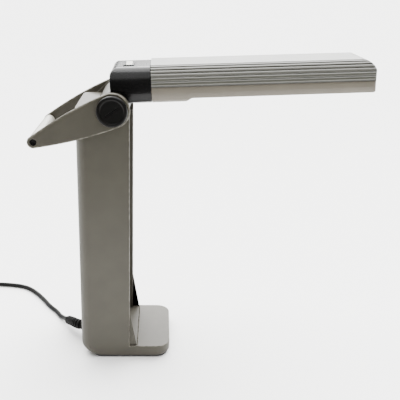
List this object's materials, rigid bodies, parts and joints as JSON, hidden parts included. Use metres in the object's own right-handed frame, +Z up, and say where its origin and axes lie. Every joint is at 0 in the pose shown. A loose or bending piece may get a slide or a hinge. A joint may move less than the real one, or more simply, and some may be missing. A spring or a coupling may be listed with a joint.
{
  "type": "folding desk lamp",
  "caption": "Folding desk lamp: long ribbed shade that hinges down into a channel-section column on a foot, with a bail carry handle, friction knob and coiled mains cord.",
  "frame": {"origin": "centre of the stand's plan, on the rubber pad's underside", "axes": "+X towards the lamp's tip and the toe of the foot, +Z up, -Y on the side with the friction knob"},
  "size_m": [0.6309, 0.2169, 0.4051],
  "materials": {
    "stand_grey": "fine-textured warm grey moulding",
    "shade_grey": "satin light grey moulding",
    "lower_grey": "satin pinkish grey moulding",
    "gloss_black": "glossy",
    "matt_black": "satin",
    "rubber": "matt",
    "steel": "zinc plated",
    "core": "varnished laminations",
    "copper": "varnished winding in tape",
    "white": "white",
    "glass": "phosphor-coated glass",
    "clear": "ribbed clear acrylic",
    "nylon": "natural",
    "brass": "nickel plated"
  },
  "bodies": {
    "stand": {"stand_shell": "stand_grey", "channel_liner": "stand_grey", "base_plate": "steel", "base_pad": "rubber", "base_screw_1": "steel", "base_screw_2": "steel", "base_screw_3": "steel", "base_screw_4": "steel", "ballast_plate": "steel", "ballast_core": "core", "ballast_winding": "copper", "ballast_screw_1": "steel", "ballast_screw_2": "steel", "terminal_block": "nylon", "terminal_screw_1": "brass", "terminal_screw_2": "brass", "terminal_screw_3": "brass", "strain_relief": "matt_black", "mains_cord": "matt_black", "cord_coil": "matt_black", "plug_body": "matt_black", "plug_pin_1": "brass", "plug_pin_2": "brass", "hinge_axle": "steel", "hinge_bush_1": "nylon", "hinge_bush_2": "nylon", "friction_washer_1": "matt_black", "friction_washer_2": "matt_black", "axle_cap_far": "matt_black"},
    "knob": {"knob_near": "matt_black"},
    "handle": {"handle_cheek_near": "stand_grey", "handle_cheek_far": "stand_grey", "grip_tube": "shade_grey", "grip_rod": "steel", "grip_end_cap_1": "gloss_black", "grip_end_cap_2": "gloss_black"},
    "head": {"hinge_barrel": "stand_grey", "head_collar": "gloss_black", "shade_cover": "shade_grey", "lower_housing": "lower_grey", "reflector": "white", "diffuser": "clear", "lamp_tubes": "glass", "lamp_cap": "white", "lampholder": "white", "lamp_clip": "steel", "switch_bezel": "gloss_black", "head_screw_1": "steel", "head_screw_2": "steel", "head_screw_3": "steel", "head_screw_4": "steel"},
    "rocker": {"switch_rocker": "shade_grey"}
  },
  "joints": [
    {"name": "head_tilt", "type": "hinge", "parent": "stand", "child": "head", "pos_m": [-0.0145, 0, 0.34], "axis": [0, 1, 0], "range_deg": [-30, 93.4]},
    {"name": "handle_swing", "type": "hinge", "parent": "stand", "child": "handle", "pos_m": [-0.0145, 0, 0.34], "axis": [0, 1, 0], "range_deg": [-34, 113.2]},
    {"name": "knob_turn", "type": "hinge", "parent": "stand", "child": "knob", "pos_m": [-0.0145, -0.065, 0.34], "axis": [0, 1, 0], "range_deg": [-180, 0]},
    {"name": "switch_rock", "type": "hinge", "parent": "head", "child": "rocker", "pos_m": [0.00284, -0.004, 0.38531], "axis": [0.9982, 0, 0.0593], "range_deg": [-10, 0]}
  ]
}
